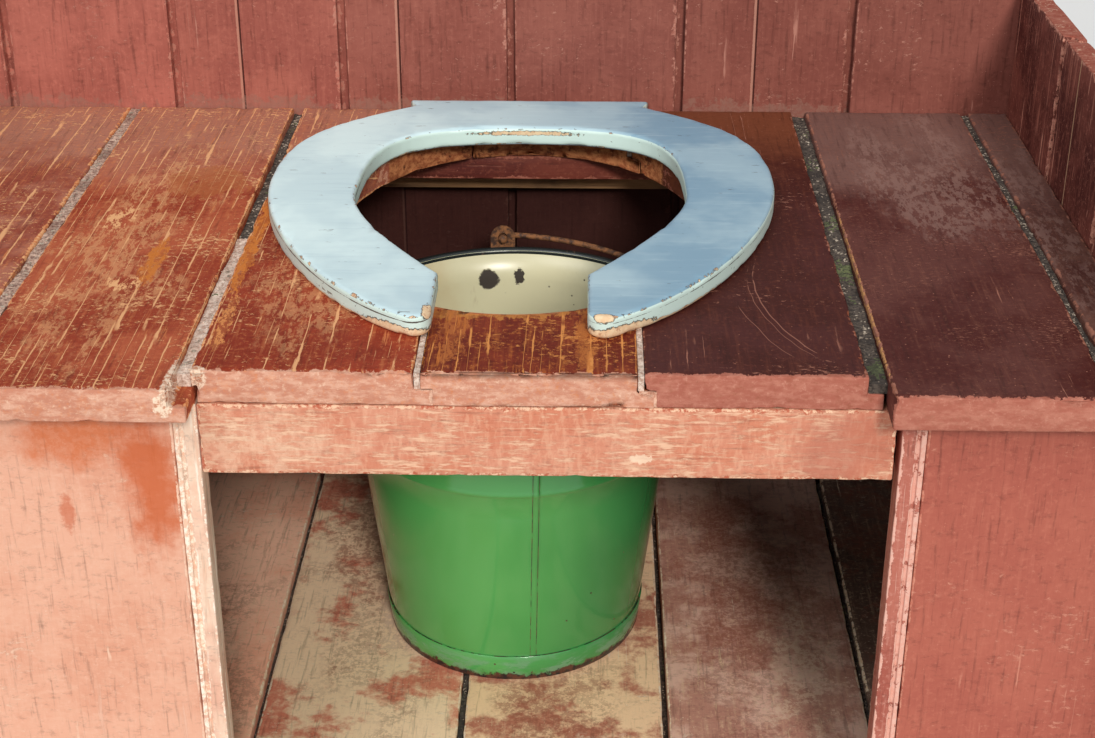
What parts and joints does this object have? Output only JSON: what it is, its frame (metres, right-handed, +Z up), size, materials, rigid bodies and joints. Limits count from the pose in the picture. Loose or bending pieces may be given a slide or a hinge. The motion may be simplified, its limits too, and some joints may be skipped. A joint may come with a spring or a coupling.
{
  "type": "outhouse toilet bench",
  "caption": "Boarded outhouse toilet bench with a loose horseshoe seat over an oval hole and a removable enamelled bucket with a swinging bail.",
  "frame": {"origin": "centre of the footprint on the ground, under the floor boards", "axes": "+X to the right as a person faces the bench, +Y towards the wall behind it, +Z up"},
  "size_m": [1.03, 0.584, 0.532],
  "materials": {
    "floor_boards": "worn paint",
    "wall_boards": "worn paint",
    "frame_timber": "raw",
    "front_paint": "faded paint",
    "top_paint": "worn satin paint",
    "seat_paint": "chipped satin paint",
    "bucket_enamel": "gloss",
    "rim_enamel": "gloss",
    "rusty_steel": "rusty"
  },
  "bodies": {
    "bench": {"floor_board_1": "floor_boards", "floor_board_2": "floor_boards", "floor_board_3": "floor_boards", "floor_board_4": "floor_boards", "floor_board_5": "floor_boards", "floor_board_6": "floor_boards", "back_board_1": "wall_boards", "back_board_2": "wall_boards", "back_board_3": "wall_boards", "back_board_4": "wall_boards", "back_board_5": "wall_boards", "back_board_6": "wall_boards", "back_board_7": "wall_boards", "left_end_boards": "wall_boards", "right_end_boards": "wall_boards", "left_post": "frame_timber", "right_post": "frame_timber", "front_bearer": "frame_timber", "rear_ledger": "frame_timber", "hole_batten": "wall_boards", "left_front_panel": "front_paint", "right_front_panel": "front_paint", "left_opening_strip": "front_paint", "right_opening_strip": "front_paint", "front_rail": "front_paint", "left_edge_board": "top_paint", "left_outer_board": "top_paint", "left_inner_board": "top_paint", "seat_board_left": "top_paint", "seat_board_middle_front": "top_paint", "seat_board_middle_back": "top_paint", "seat_board_right": "top_paint", "right_board": "top_paint", "right_edge_board": "top_paint", "seat_ring": "seat_paint", "bucket_shell": "bucket_enamel", "bucket_rim": "rim_enamel", "bucket_foot_band": "bucket_enamel", "bucket_base": "bucket_enamel", "rear_ear": "rusty_steel", "front_ear": "rusty_steel"},
    "bail": {"bail": "rusty_steel"}
  },
  "joints": [
    {"name": "bail_hinge", "type": "hinge", "parent": "bench", "child": "bail", "pos_m": [0.051, 0.038, 0.32], "axis": [0.0976, -0.9952, 0], "range_deg": [0, 120]}
  ]
}
